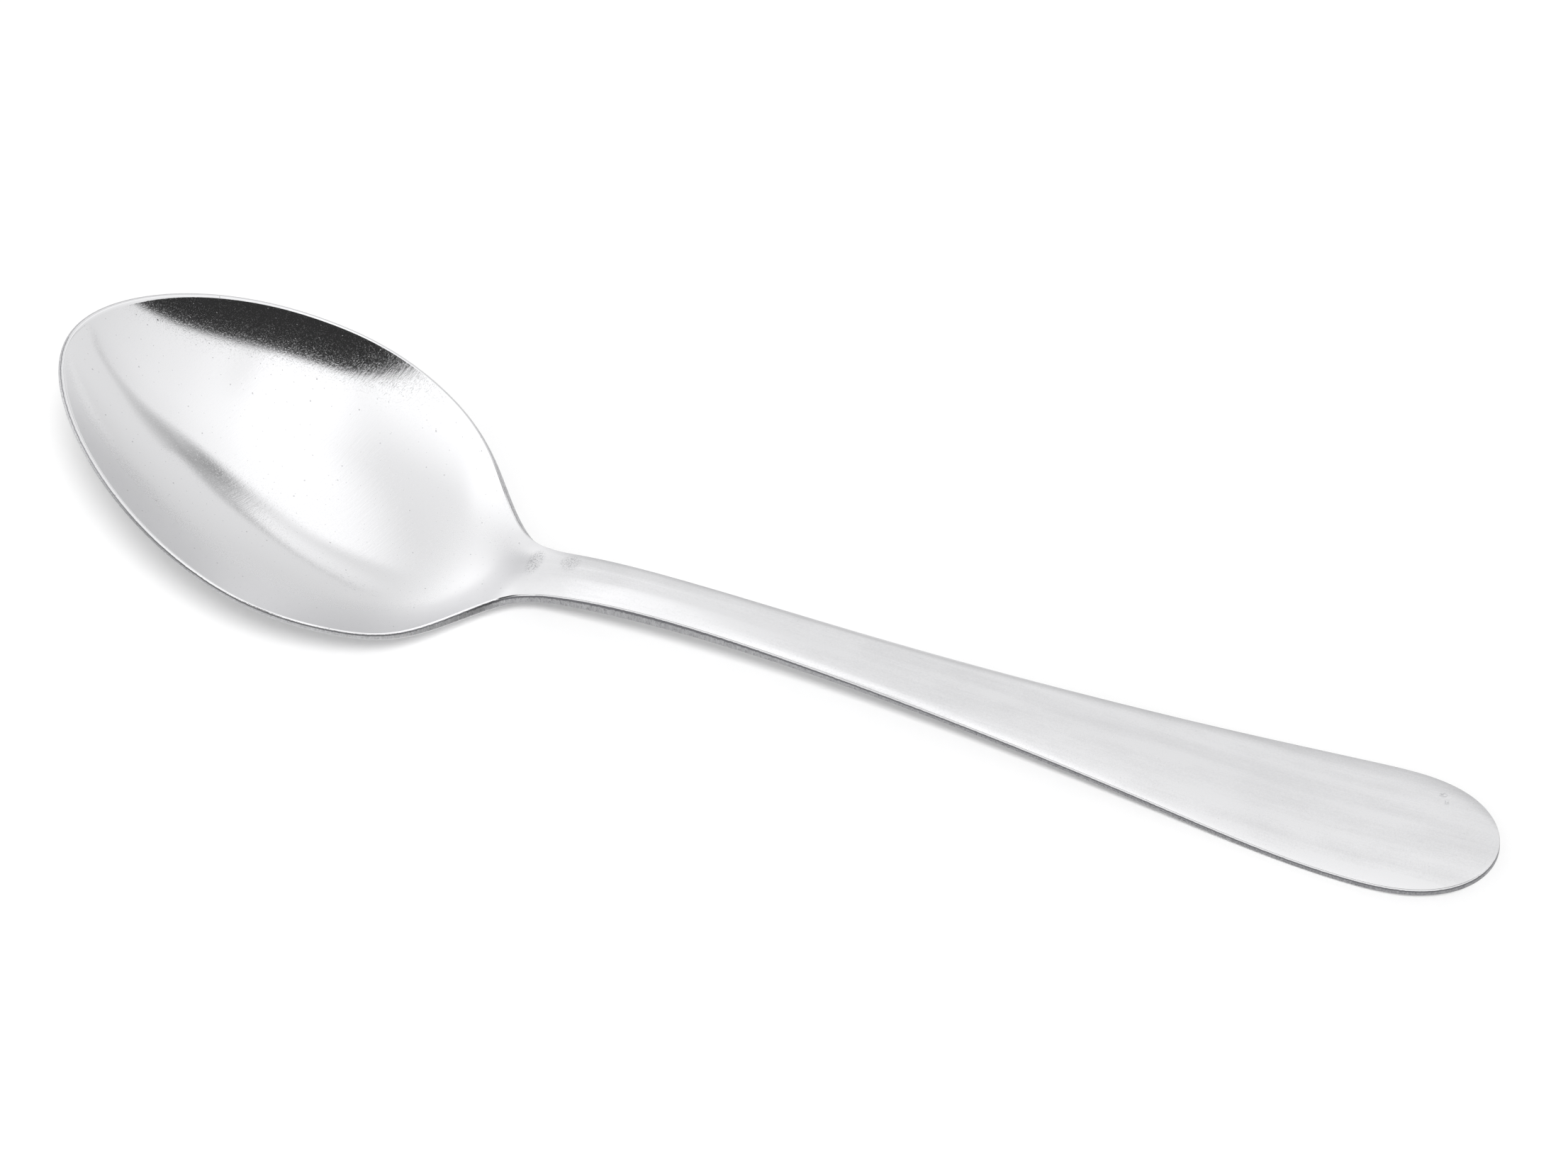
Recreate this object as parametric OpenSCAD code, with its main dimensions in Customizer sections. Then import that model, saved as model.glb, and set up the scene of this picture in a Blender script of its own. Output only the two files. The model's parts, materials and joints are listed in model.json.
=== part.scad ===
// Dessert spoon stamped from one piece of graded stainless sheet.
// The underside is a height field over the plan outline. The upper face is that field
// moved up along its own normal by the thickness of the sheet, so the sheared edge
// stands square to the wall all round. Lengths are in millimetres.

/* [Overall] */
// Length from the tip of the bowl to the end of the handle
spoon_length = 178; // [168:1:190]

/* [Bowl] */
// Length of the bowl from its tip to the root of the neck
bowl_length = 58; // [54:0.5:62]
// Width of the bowl at its widest station
bowl_width = 42.2; // [38:0.1:46]
// Depth of the bowl's underside below its rim
bowl_depth = 7.6; // [6.5:0.1:9.5]
// Distance of the deepest point from the tip
deepest_at = 26; // [24:0.5:28]
// Distance from the deepest point back to where the dish runs out
dish_reach = 33.5; // [30:0.5:36]
// Length over which the tip is rounded
nose_length = 23.8; // [18:0.1:28]
// Height of the rim's outer edge at the tip
tip_height = 25.5; // [20:0.1:28]
// Height of the rim's outer edge at the heel
heel_height = 3.15; // [2:0.05:5]
// Dip of the rim between tip and heel
rim_sag = 0.7; // [0:0.05:2]

/* [Neck] */
// Width of the neck at its narrowest
neck_width = 6.7; // [5.5:0.1:9]
// Distance from the root of the bowl to the narrowest point of the neck
neck_reach = 17; // [14:0.5:22]
// Widening on each side where the neck runs into the bowl
root_flare = 1; // [0.6:0.05:2]
// Height of the neck's lower edge
neck_height = 4.95; // [3:0.05:7]
// Height of the lower edge in the throat between bowl and neck
throat_height = 4.05; // [2.5:0.05:6]
// Rise of the neck's upper face from edge to middle
neck_crown = 1; // [0.3:0.05:1.5]

/* [Handle] */
// Width of the handle near its end
handle_width = 16.9; // [13:0.1:20]
// Length over which the end is rounded
end_round = 16; // [10:0.5:20]
// Height of the lower edge at the end, which lifts clear of the table
end_lift = 1.6; // [0.6:0.1:4]
// Distance from the end to where the handle touches the table
foot_reach = 18; // [14:0.5:26]

/* [Sheet] */
// Thickness at the bowl's rim
rim_thickness = 0.7; // [0.6:0.05:1.4]
// Thickness of the sheared edge at the neck
neck_thickness = 1.65; // [1.2:0.05:2.4]
// Thickness of the sheared edge along the middle of the handle
shank_thickness = 0.85; // [0.6:0.05:1.4]
// Thickness of the sheared edge at the end of the handle
end_thickness = 1.05; // [0.7:0.05:1.6]
// Extra thickness in the floor of the bowl
floor_gain = 0.1; // [0:0.05:0.4]
// Rise of the handle's upper face from edge to middle
face_crown = 0.7; // [0:0.05:1]
// Bulge of the handle's back from edge to middle
back_crown = 0.2; // [0:0.05:0.5]
// Width of the small bevel that breaks the lower sheared corner
edge_break = 0.08; // [0.05:0.01:0.25]
// Width of the polished bevel along the upper corner
corner_break = 0.1; // [0.05:0.01:0.4]
// Fall of the polished bevel along the upper corner
corner_drop = 0.2; // [0.05:0.01:0.3]

/* [Hidden] */

steel = [0.70, 0.70, 0.71];

// Share of the dish that is a plain parabola along the middle, the rest being a fuller floor
parabola_share = 0.15;
// Power that shapes how the dish runs out behind its deepest point
dish_power = 1.5;
// Bowl outline as [share of bowl length, share of half width]
bowl_shape = [[0, 0.619], [0.24, 0.842], [0.483, 1], [0.69, 0.914], [0.828, 0.676], [0.931, 0.353]];
// Stations along the rim as shares of the way from tip to heel
rim_shape = [0, 0.26, 0.52, 0.78, 1];
// Where the rim is lowest, as a share of bowl length
heel_share = 0.93;
// Where the sheet starts to thicken towards the neck, as a share of bowl length
thickening_share = 0.6;
// Share of the neck's extra thickness that is reached at the heel
heel_gain = 0.4;
// Where the throat lies, as a share of the way from root to neck
throat_share = 0.3;
// Share of the root's flare that is left in the throat
throat_flare = 0.16;
// Where the sheet is thickest, as a share of the way from throat to neck
thickest_share = 0.6;
// Handle flare as [share of the way from neck to end, share of the step from neck to handle width]
flare_shape = [[0.34, 0.167], [0.631, 0.638], [0.845, 1], [1, 0.97]];
// Handle fall as [share of the way from neck to foot, share of the neck's height that is left]
fall_shape = [[0.353, 0.768], [0.706, 0.274]];
// Thinning as [share of the way from neck to foot, share of the neck's extra thickness that is left]
thinning_shape = [[0.18, 0.5], [0.53, 0]];
// Where the sheet thickens again, and by what share of the step to the end's thickness
regain_at = 0.88;
regain = 0.25;
// Where the crown begins, as a share of bowl length, and where it is full, as a share from throat to neck
grip_start = 0.85;
grip_full = 0.25;
// Share of the way from neck to foot over which the round neck turns into the flat-topped handle
blade_share = 0.35;
// Powers that shape the crown across the neck and across the handle
neck_power = 2;
face_power = 4;

// Distance either side of a station over which slopes are taken
slope_step = 0.001;
// Distance of the first and last section from the ends, where the outline closes
end_inset = 0.01;
// Steps across half of a section
half_steps = 9;
// Where the closer sections of the heel begin, as a share of the way from nose to heel
turn_share = 0.85;
// Sections along the nose, the bowl, the heel, the handle and the end
nose_sections = 14;
bowl_sections = 14;
heel_sections = 14;
handle_sections = 24;
end_sections = 10;

heel_at = heel_share * bowl_length;
throat_at = bowl_length + throat_share * neck_reach;
neck_at = bowl_length + neck_reach;
foot_at = spoon_length - foot_reach;
turn_at = mix(nose_length, heel_at, turn_share);
grip_from = grip_start * bowl_length;
grip_to = mix(throat_at, neck_at, grip_full);

outline = curve(concat(
    [for (s = bowl_shape) [s.x * bowl_length, s.y * bowl_width / 2]],
    [
        [bowl_length, neck_width / 2 + root_flare],
        [throat_at, neck_width / 2 + throat_flare * root_flare],
        [neck_at, neck_width / 2]
    ],
    [for (s = flare_shape)
        [mix(neck_at, spoon_length, s.x), mix(neck_width, handle_width, s.y) / 2]]
));

rim_line = curve(concat(
    [for (s = rim_shape)
        [s * heel_at, mix(tip_height, heel_height, s) - 4 * rim_sag * s * (1 - s)]],
    [[throat_at, throat_height], [neck_at, neck_height]],
    [for (s = fall_shape) [mix(neck_at, foot_at, s.x), mix(back_crown, neck_height, s.y)]],
    [[foot_at, back_crown], [spoon_length, end_lift]]
));

sheet = curve(concat(
    [
        [0, rim_thickness],
        [thickening_share * bowl_length, rim_thickness],
        [heel_at, mix(rim_thickness, neck_thickness, heel_gain)],
        [mix(throat_at, neck_at, thickest_share), neck_thickness]
    ],
    [for (s = thinning_shape)
        [mix(neck_at, foot_at, s.x), mix(shank_thickness, neck_thickness, s.y)]],
    [
        [mix(neck_at, foot_at, regain_at), mix(shank_thickness, end_thickness, regain)],
        [spoon_length, end_thickness]
    ]
));

function mix(a, b, share) = a + (b - a) * share;
function limit(x) = max(0, min(1, x));
function ease(t) = t * t * (3 - 2 * t);

// Natural cubic curve through [position, value] points, kept as the points and their second slopes
function gap(pts, i) = pts[i + 1].x - pts[i].x;
function rise(pts, i) = (pts[i + 1].y - pts[i].y) / gap(pts, i);
function sweep(pts, rows = [[0, 0]], i = 1) =
    i > len(pts) - 2 ? rows :
    let (
        before = gap(pts, i - 1),
        after = gap(pts, i),
        pivot = 2 * (before + after) - before * rows[i - 1][0],
        turn = 6 * (rise(pts, i) - rise(pts, i - 1))
    )
    sweep(pts, concat(rows, [[after / pivot, (turn - before * rows[i - 1][1]) / pivot]]), i + 1);
function second_slopes(rows, i, found = [0]) =
    i < 1 ? concat([0], found) :
    second_slopes(rows, i - 1, concat([rows[i][1] - rows[i][0] * found[0]], found));
function curve(pts) = [pts, second_slopes(sweep(pts), len(pts) - 2)];
function span(pts, x, i = 0) =
    i >= len(pts) - 2 || x < pts[i + 1].x ? i : span(pts, x, i + 1);
function along(line, x) =
    let (
        pts = line[0],
        bend = line[1],
        i = span(pts, x),
        b = (x - pts[i].x) / gap(pts, i),
        a = 1 - b
    )
    a * pts[i].y + b * pts[i + 1].y
    + ((a ^ 3 - a) * bend[i] + (b ^ 3 - b) * bend[i + 1]) * gap(pts, i) ^ 2 / 6;
function slope(f, x) = (f(x + slope_step) - f(x - slope_step)) / (2 * slope_step);

// Squared factors that close the outline at the tip and at the end
function nose_cap(x) = 1 - limit(1 - x / nose_length) ^ 3;
function end_cap(x) = 1 - limit(1 - (spoon_length - x) / end_round) ^ 3;
half_width = function (x) along(outline, x) * sqrt(nose_cap(x) * end_cap(x));
edge_height = function (x) along(rim_line, x);

// Depth along the middle as a share of the full depth, running out into the throat
function run(x) =
    x < deepest_at
        ? 1 - ((deepest_at - x) / deepest_at) ^ 2
        : max(0, 1 - ((x - deepest_at) / dish_reach) ^ 2) ^ dish_power;
dish = function (x) run(x) * mix(2 - run(x), 1, parabola_share);

// How far a station belongs to the crowned handle, from 0 in the bowl to 1
grip = function (x) ease(limit((x - grip_from) / (grip_to - grip_from))) * end_cap(x);

// How far the middle of the underside hangs below its edges
hang = function (x) bowl_depth * dish(x) + back_crown * grip(x);

// Extra thickness over that of the edge, round across the neck and flat-topped along the handle
function crown(x, v) =
    let (
        blade = ease(limit((x - neck_at) / (blade_share * (foot_at - neck_at)))),
        height = back_crown + mix(neck_crown, face_crown, blade),
        power = mix(neck_power, face_power, blade)
    )
    grip(x) * height * (1 - abs(v) ^ power)
    + (1 - grip(x)) * dish(x) * floor_gain * (1 - v * v);

// A point of the underside, its upward normal and the thickness above it,
// at station x and at v, the share of the half width
function skin(x, v) =
    let (
        inner = 1 - v * v,
        w = half_width(x),
        narrowing = slope(half_width, x) / w,
        z = edge_height(x) - hang(x) * inner,
        z_x = slope(edge_height, x) - slope(hang, x) * inner - 2 * hang(x) * v * v * narrowing,
        z_y = 2 * hang(x) * v / w,
        normal = [-z_x, -z_y, 1] / norm([-z_x, -z_y, 1])
    )
    [[x, v * w, z], normal, along(sheet, x) + crown(x, v)];

// A point above the underside, by a share of the thickness there and a further lift
function raised(s, share, lift = 0) = s[0] + s[1] * (share * s[2] + lift);

// Stations along the spoon, closer together where the outline turns quickly
stations = concat(
    [for (i = [0:nose_sections - 1])
        max(end_inset, nose_length * (1 - cos(90 * i / nose_sections)))],
    [for (i = [0:bowl_sections - 1]) mix(nose_length, turn_at, i / bowl_sections)],
    [for (i = [0:heel_sections - 1]) mix(turn_at, throat_at, i / heel_sections)],
    [for (i = [0:handle_sections - 1])
        mix(throat_at, spoon_length - end_round, i / handle_sections)],
    [for (i = [0:end_sections])
        min(spoon_length - end_inset, spoon_length - end_round * (1 - sin(90 * i / end_sections)))]
);

// Skin points across the section at x, drawn in from the outline by the width of a bevel
function across(x, bevel) =
    let (
        steer = slope(half_width, x),
        tilt = sqrt(1 + steer * steer),
        inset_x = x + bevel * steer / tilt,
        inset_w = half_width(x) - bevel / tilt,
        reach = inset_w / half_width(inset_x)
    )
    [for (j = [-half_steps:half_steps]) skin(inset_x, reach * sin(90 * j / half_steps))];

// One closed section: underside, left edge, upper face and right edge
function section(x) =
    let (
        lower = across(x, edge_break),
        upper = across(x, corner_break),
        left = skin(x, 1),
        right = skin(x, -1)
    )
    concat(
        [for (s = lower) raised(s, 0)],
        [raised(left, 0, edge_break), raised(left, 1, -corner_drop)],
        [for (i = [len(upper) - 1:-1:0]) raised(upper[i], 1)],
        [raised(right, 1, -corner_drop), raised(right, 0, edge_break)]
    );

// Skin of triangles over a row of closed sections, with the first and last section filled in
module loft(sections) {
    rows = len(sections);
    n = len(sections[0]);
    row_points = n / 2 - 2;
    under = [for (j = [0:row_points - 1]) j];
    upper = [for (j = [row_points + 2:n - 3]) j];
    left = [row_points, row_points + 1];
    right = [n - 2, n - 1];
    lid = [
        concat(under, [left[0], right[1]]),
        concat([left[1]], upper, [right[0]]),
        concat(left, right)
    ];
    sides = [for (i = [0:rows - 2], j = [0:n - 1])
        let (a = i * n + j, b = i * n + (j + 1) % n)
        each [[a, a + n, b], [b, a + n, b + n]]];
    far_lid = [for (face = lid) [for (k = [len(face) - 1:-1:0]) face[k] + (rows - 1) * n]];
    polyhedron(points = [for (s = sections) each s], faces = concat(sides, lid, far_lid), convexity = 4);
}

module spoon() {
    sections = [for (x = stations) section(x)];
    lowest = min([for (s = sections) for (p = s) p.z]);
    color(steel)
    translate([-spoon_length / 2, 0, -lowest])
    loft(sections);
}

spoon();
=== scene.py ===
"""Stamped stainless dessert spoon in a plain white studio.

The spoon is one sheet. Its underside is a height field over the plan outline, and its upper face
is that field moved up along its own normal by the thickness of the sheet. Lengths are in metres.
"""

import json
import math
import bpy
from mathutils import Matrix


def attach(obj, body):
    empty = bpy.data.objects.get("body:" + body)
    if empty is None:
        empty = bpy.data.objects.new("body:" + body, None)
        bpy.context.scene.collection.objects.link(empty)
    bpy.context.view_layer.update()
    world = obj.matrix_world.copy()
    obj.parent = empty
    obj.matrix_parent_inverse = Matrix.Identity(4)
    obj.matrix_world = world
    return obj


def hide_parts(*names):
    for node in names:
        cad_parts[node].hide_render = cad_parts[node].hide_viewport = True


bl_info = {
    "name": "Dessert Spoon",
    "version": (1, 0, 0),
    "blender": (4, 5, 0),
    "location": "View3D > Sidebar > Spoon",
    "description": "Builds a stamped stainless dessert spoon and a plain white studio round it",
    "category": "Add Mesh",
}

import bpy
import numpy as np
from bpy.props import FloatProperty, FloatVectorProperty, PointerProperty
from mathutils import Vector

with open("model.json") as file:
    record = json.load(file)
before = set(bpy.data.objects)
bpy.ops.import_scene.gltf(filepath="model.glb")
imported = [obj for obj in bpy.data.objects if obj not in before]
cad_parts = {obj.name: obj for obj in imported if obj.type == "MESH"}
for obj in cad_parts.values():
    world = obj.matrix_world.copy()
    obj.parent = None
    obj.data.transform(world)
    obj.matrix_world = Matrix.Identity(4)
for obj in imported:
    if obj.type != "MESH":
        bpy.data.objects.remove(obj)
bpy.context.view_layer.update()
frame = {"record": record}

NODE = "spoon"
BODY = "root"
STEEL = tuple(frame["record"]["materials"][0]["base_color"])
IMAGE_WIDTH = 2212
MM = 0.001
SENSOR_WIDTH = 36.0
CLIP_START = 0.01

# Stations of outline, rim, sheet and handle, as shares of the lengths they belong to
BOWL_SHAPE = ((0, 0.619), (0.24, 0.842), (0.483, 1), (0.69, 0.914), (0.828, 0.676), (0.931, 0.353))
RIM_SHAPE = (0, 0.26, 0.52, 0.78, 1)
FLARE_SHAPE = ((0.34, 0.167), (0.631, 0.638), (0.845, 1), (1, 0.97))
FALL_SHAPE = ((0.353, 0.768), (0.706, 0.274))
THINNING_SHAPE = ((0.18, 0.5), (0.53, 0))

# Shares and powers of the sheet's other curves
PARABOLA_SHARE = 0.15
DISH_POWER = 1.5
GRIP_START = 0.85
GRIP_FULL = 0.25
BLADE_SHARE = 0.35
ROOF_START = 0.2
ROOF_POWER = 1.2
FACE_POWER = 4
ROLL_SPAN = (0.35, 0.9)
HEEL_SHARE = 0.93
THICKENING_SHARE = 0.6
HEEL_GAIN = 0.4
THROAT_SHARE = 0.3
THROAT_FLARE = 0.16
THICKEST_SHARE = 0.6
REGAIN_AT = 0.88
REGAIN = 0.25

# Grid of the spoon's skin
NOSE_STEPS = 110
BODY_STEPS = 330
END_STEPS = 80
FACE_COLUMNS = 64
ROLL_STEPS = 6
CORNER_STEPS = 4
BAND_STEPS = 5
BURR_STEPS = 3
BEVEL_DROP = 0.5

# Small numbers of the calculation
SLOPE_STEP = 1e-9
END_INSET = 5e-9
LEAST_CAP = 1e-12
LEAST_FLAT = 1e-9
LEAST_LEAN = 1e-6

# Where finishes and painted highlights begin and end along the spoon, in millimetres from its
# middle
POLISH_END = (-36.0, -22.0)
HEEL_START = (-50.0, -38.0)
HEEL_END = (-32.0, -20.0)
# Painted highlight on the heel's near flank, which mirrors shade from the bowl
FLANK_HIGHLIGHT_START = (-48.0, -38.0)
FLANK_HIGHLIGHT_END = (-36.0, -29.5)
# Painted highlight on the handle's near half, from here to the end
NEAR_HIGHLIGHT_START = (10.0, 40.0)
DEEP_NECK_START = (-40.0, -28.0)
DEEP_GRIP_START = (5.0, 35.0)

# Where they begin and end across it, as shares of the half width to the near or the far side
HEEL_NEAR = (-0.9, -0.3)
WALL_NEAR = (0.45, 0.8)
# Near side of the painted highlight on the heel's flank
FLANK_HIGHLIGHT_NEAR = (-0.6, 0.25)
# Near side of the painted highlight on the handle
NEAR_HIGHLIGHT_SIDE = (-0.1, 0.6)
# Where the painted shade along the handle's far edge begins and is full
FAR_SHADE_SIDE = (0.68, 1.0)
# Where the painted shade of the burr line weakens towards the far side
BURR_SHADE_FAR_SIDE = (0.0, 0.2)

# Where they begin and end down the edge, by its drop
CORNER_START = (0.0, 0.12)
CORNER_END = (0.85, 0.95)
CUT_START = (0.95, 1.02)
CUT_END = (2.0, 2.3)
# The burr line under the polished corner: a small real burr, darkened with painted shade
BURR_AT = 1.1
BURR_WIDTH = 0.24
BURR_JAG = 0.5
BURR_BLUR = (0.0, 0.14)

# Noises on the steel: waves to a millimetre in each direction, detail and roughness
NOISE_MEAN = 0.5
SLANT = 0.4
STROKES = ((3.2, 0.35, 0.35), 4.0, 0.62)
GRAIN = ((7.0, 3.0, 3.0), 2.0, 0.6)
GRIT = ((5.5, 5.5, 5.5), 2.0, 0.6)
LINES = ((0.1, 8.0, 2.5), 4.0, 0.6)
RIPPLE = ((0.13, 0.13, 0.13), 1.0, 0.5)
BANDS = ((0.015, 0.5, 0.1), 2.0, 0.5)
MOTTLE = ((0.14, 0.24, 0.1), 3.0, 0.6)
FLECK = ((4.0, 4.0, 4.0), 3.0, 0.7)
SPECK = ((8.0, 5.0, 5.0), 3.0, 0.75)
HAIRS = ((0.4, 7.0, 7.0), 2.0, 0.5)

# Noises on the edge: waves to a millimetre of run, a drop of 1 and a layer, detail and roughness
JAGGED = ((1.6, 1.0, 1.0), 4.0, 0.7)
MARKS = ((4.0, 0.9, 1.0), 4.0, 0.65)
CHIPS = ((5.0, 2.5, 1.0), 3.0, 0.7)
CHIP_LAYER = 7.0

# Levels between which a noise turns from none to full
GRAIN_SPAN = (0.52, 0.75)
GRIT_SPAN = (0.5, 0.68)
CHIP_SPAN = (0.5, 0.66)
SPECK_SPAN = (0.44, 0.64)
NICK_SPAN = (0.4, 0.6)
HAIR_SPAN = (0.64, 0.7)

# Single marks: middle and reach along and across in millimetres, and strength
RUB_MARKS = (((-30.6, 1.0), (1.3, 2.4), 1.0), ((-26.1, 1.4), (1.6, 1.8), 0.8))
NICK_MARKS = (((81.0, 5.6), (0.6, 0.5), 1.0), ((81.6, 4.7), (0.4, 0.4), 1.0))
HAIR_MARKS = (((-50.6, -8.8), (5.0, 2.0), 1.0),)
SMEAR_MARKS = (((-26.0, 1.2), (9.5, 5.0), 0.28),)

# Pits: cells to a millimetre, radius in millimetres, share left out and strength
PITS = ((0.33, 0.11, 0.72, 1.0), (0.8, 0.07, 0.6, 0.6))
DOT_CORE = 0.5
PICK_BLUR = 0.02

# The dark trail along the handle, in millimetres
TRAIL_MIDDLE = 63.0
TRAIL_ACROSS = 2.6
TRAIL_BEND = 0.0027
TRAIL_WIDTH = (0.2, 1.5)
TRAIL_START = (20.0, 40.0)
TRAIL_END = (72.0, 88.0)

# Heights of the fine structure, in millimetres
STROKE_RELIEF = 0.0045
GRAIN_RELIEF = 0.0016
RIPPLE_RELIEF = 0.003
LINE_RELIEF = 0.0012
PIT_RELIEF = 0.006
HAIR_RELIEF = 0.002
MARK_RELIEF = 0.03
BURR_RELIEF = 0.01

# Changes of roughness
FLECK_ROUGHNESS = 0.1
LINE_ROUGHNESS = 0.14
BAND_ROUGHNESS = 0.1
STROKE_ROUGHNESS = 0.05
GRIT_ROUGHNESS = 0.1

# Shares of the burnished colour and painted highlights, of the sheared colour and painted shade on
# the far edge, and of the soiled colour and painted shade on the burr line
# Painted highlight on the heel's near flank
FLANK_HIGHLIGHT = 0.75
# Painted highlight on the handle's near half
NEAR_HIGHLIGHT = 0.2
HANDLE_BURNISH = 0.12
BAND_MIDDLE = 0.42
BAND_WEAR = 0.6
MOTTLE_WEAR = 0.4
LINE_WEAR = 0.3
FLECK_WEAR = 0.5
# Painted shade darkening the handle's far edge
FAR_SHADE = 0.55
# How much the dark trail along the handle darkens it
TRAIL_DARKENING = 0.14
EDGE_SHEAR = 0.85
MARK_SHEAR = 1.6
DEEP_NECK = 0.35
DEEP_GRIP = 0.25
DEEP_EVEN = 0.4
DEEP_MARKS = 1.2
RUB_GRIME = 0.7
NICK_GRIME = 0.38
HAIR_GRIME = 0.3
PIT_GRIME = 0.12
PIT_GRIME_BOWL = 0.25
CHIP_GRIME = 0.45
# Painted shade in the dark line along the top of the sheared edge, less on the far side
BURR_SHADE = 0.75
BURR_SHADE_FAR = 0.5

# White of floor and room, and the floor in metres
WHITE = (1.0, 1.0, 1.0)
FLOOR_REACH = 6.0
FLOOR_LINES = 3
FLOOR_LEVEL = -0.1 * MM

# The room by direction, in degrees of lean from straight up: east to +X, north to +Y, west to -X
WEST_SPAN = (-2.0, 12.0)
BACK_RIGHT = (55.0, 92.0)
BACK_LEFT = (66.0, 88.0)
DIP_EAST = (-35.0, 5.0)
DIP_NORTH = (-8.0, 34.0)
DIP_FRONT = 0.4
DIP_DEPTH = 0.17
GLOW_WEST = (8.0, 44.0)
GLOW_NORTH = (20.0, 50.0)
DUSK_WEST = (50.0, 68.0)
DUSK_NORTH = (-10.0, 36.0)
GLOW_GAIN = 0.12

# The bright part over the camera
FRONT_SPAN = (-3.0, 26.0)
FRONT_SHOULDER = 5.0
SHOULDER_WEST = (8.0, 24.0)
FRONT_NOTCH = 4.5
NOTCH_EAST = 2.0
NOTCH_WIDTH = (2.0, 22.0)

# The strip light: its left side, its brow and the lip beyond it, and how its level falls
SLANT_FROM = 4.0
LEFT_SLANT = 0.26
LEFT_SPAN = (14.0, 25.0)
BROW_NORTH = 48.0
BROW_FALLS = ((8.0, (12.0, 26.0)), (3.0, (44.0, 60.0)), (14.0, (58.0, 80.0)))
BROW_BLUR = (-3.0, 4.0)
LIP_EAST = 0.6
LIP_NORTH = 0.8
LIP_LOWER = (47.0, 52.5)
LIP_UPPER = (54.0, 55.5)
LIP_AHEAD = (-46.0, -16.0)
LIP_GAIN = 0.28
RIGHT_SLANT = 0.24
SHELF_FALL = 0.12
SHELF_SPAN = (30.0, 36.0)
SEAM_AT = 36.0
SEAM_WIDTH = (0.5, 4.5)
SEAM_NORTH = (-10.0, 8.0)
SEAM_DEPTH = 0.11
MIDDLE_FALL = 0.16
MIDDLE_SPAN = (32.0, 52.0)
NORTH_FALL = 0.05
NORTH_SPAN = (14.0, 34.0)
OUTER_FALL = 0.23
OUTER_SPAN = (44.0, 92.0)

# Dark cards round the middle of the bowl, which is a place in metres like their distances from it
BOWL_MIDDLE = (-0.062, 0.0, 0.01)
CARD_TONE = 0.04

# The cloth over the camera: its upper brink and how far that is blurred, by degrees
CLOTH_AWAY = 3.0
CLOTH_STEPS = 165
CLOTH_REACH = 88.0
BRINK_EAST = (-80, -30, -4, 12, 24, 32, 52, 84)
BRINK_NORTH = (-52, -49, -41, -27.2, -20.2, -19.1, -17.4, -8)
BRINK_DROP = 0.5
BLUR_EAST = (-80, 24, 32, 44, 56, 68, 84)
BLUR_WIDTH = (1, 1, 1.2, 2.8, 2.8, 2.4, 2)
CLOTH_FOLDS = (0.45, 0.75)
CLOTH_COVER = (0.0, 1.0, 1.0, 0.35, 0.1)

# The dark streak, stop by stop: its course, its width above and below that, and its cover
STREAK_AWAY = 2.9
STREAK_STEPS = 145
STREAK_COLUMNS = 25
STREAK_FADE = 1.5
STREAK_EAST = (0, 6, 12, 17, 20.6, 25, 32, 40, 48, 56, 64, 71, 77)
STREAK_NORTH = (69, 64.5, 60.5, 57, 51.5, 44.5, 42, 42, 41.2, 38.8, 35.8, 30.5, 21.5)
STREAK_ABOVE = (0.9, 0.9, 1.0, 2.5, 7, 13, 15, 12, 7.5, 5, 3.2, 2.6, 2.2)
STREAK_BELOW = (0.9, 0.9, 1.0, 1.4, 2.8, 5, 7.5, 8, 7, 5.5, 4, 3, 2.2)
STREAK_DEPTH = (0.12, 0.22, 0.26, 0.32, 0.5, 0.67, 0.48, 0.36, 0.27, 0.2, 0.18, 0.18, 0.04)


def length(name, text, value):
    """A length that the user can set, given in millimetres and kept in metres."""
    return FloatProperty(
        name=name, description=text, default=value * MM, unit="LENGTH", precision=5
    )


def share(name, text, value, top=1.0):
    """A share or a level from 0 to its top."""
    return FloatProperty(
        name=name,
        description=text,
        default=value,
        min=0.0,
        max=top,
        precision=3,
        subtype="FACTOR",
    )


def angle(name, text, degrees):
    """An angle, given in degrees and kept in radians."""
    return FloatProperty(
        name=name, description=text, default=math.radians(degrees), subtype="ANGLE"
    )


def colour(name, text, value):
    """A linear colour."""
    return FloatVectorProperty(
        name=name, description=text, default=value, subtype="COLOR", min=0.0, max=1.0
    )


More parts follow.
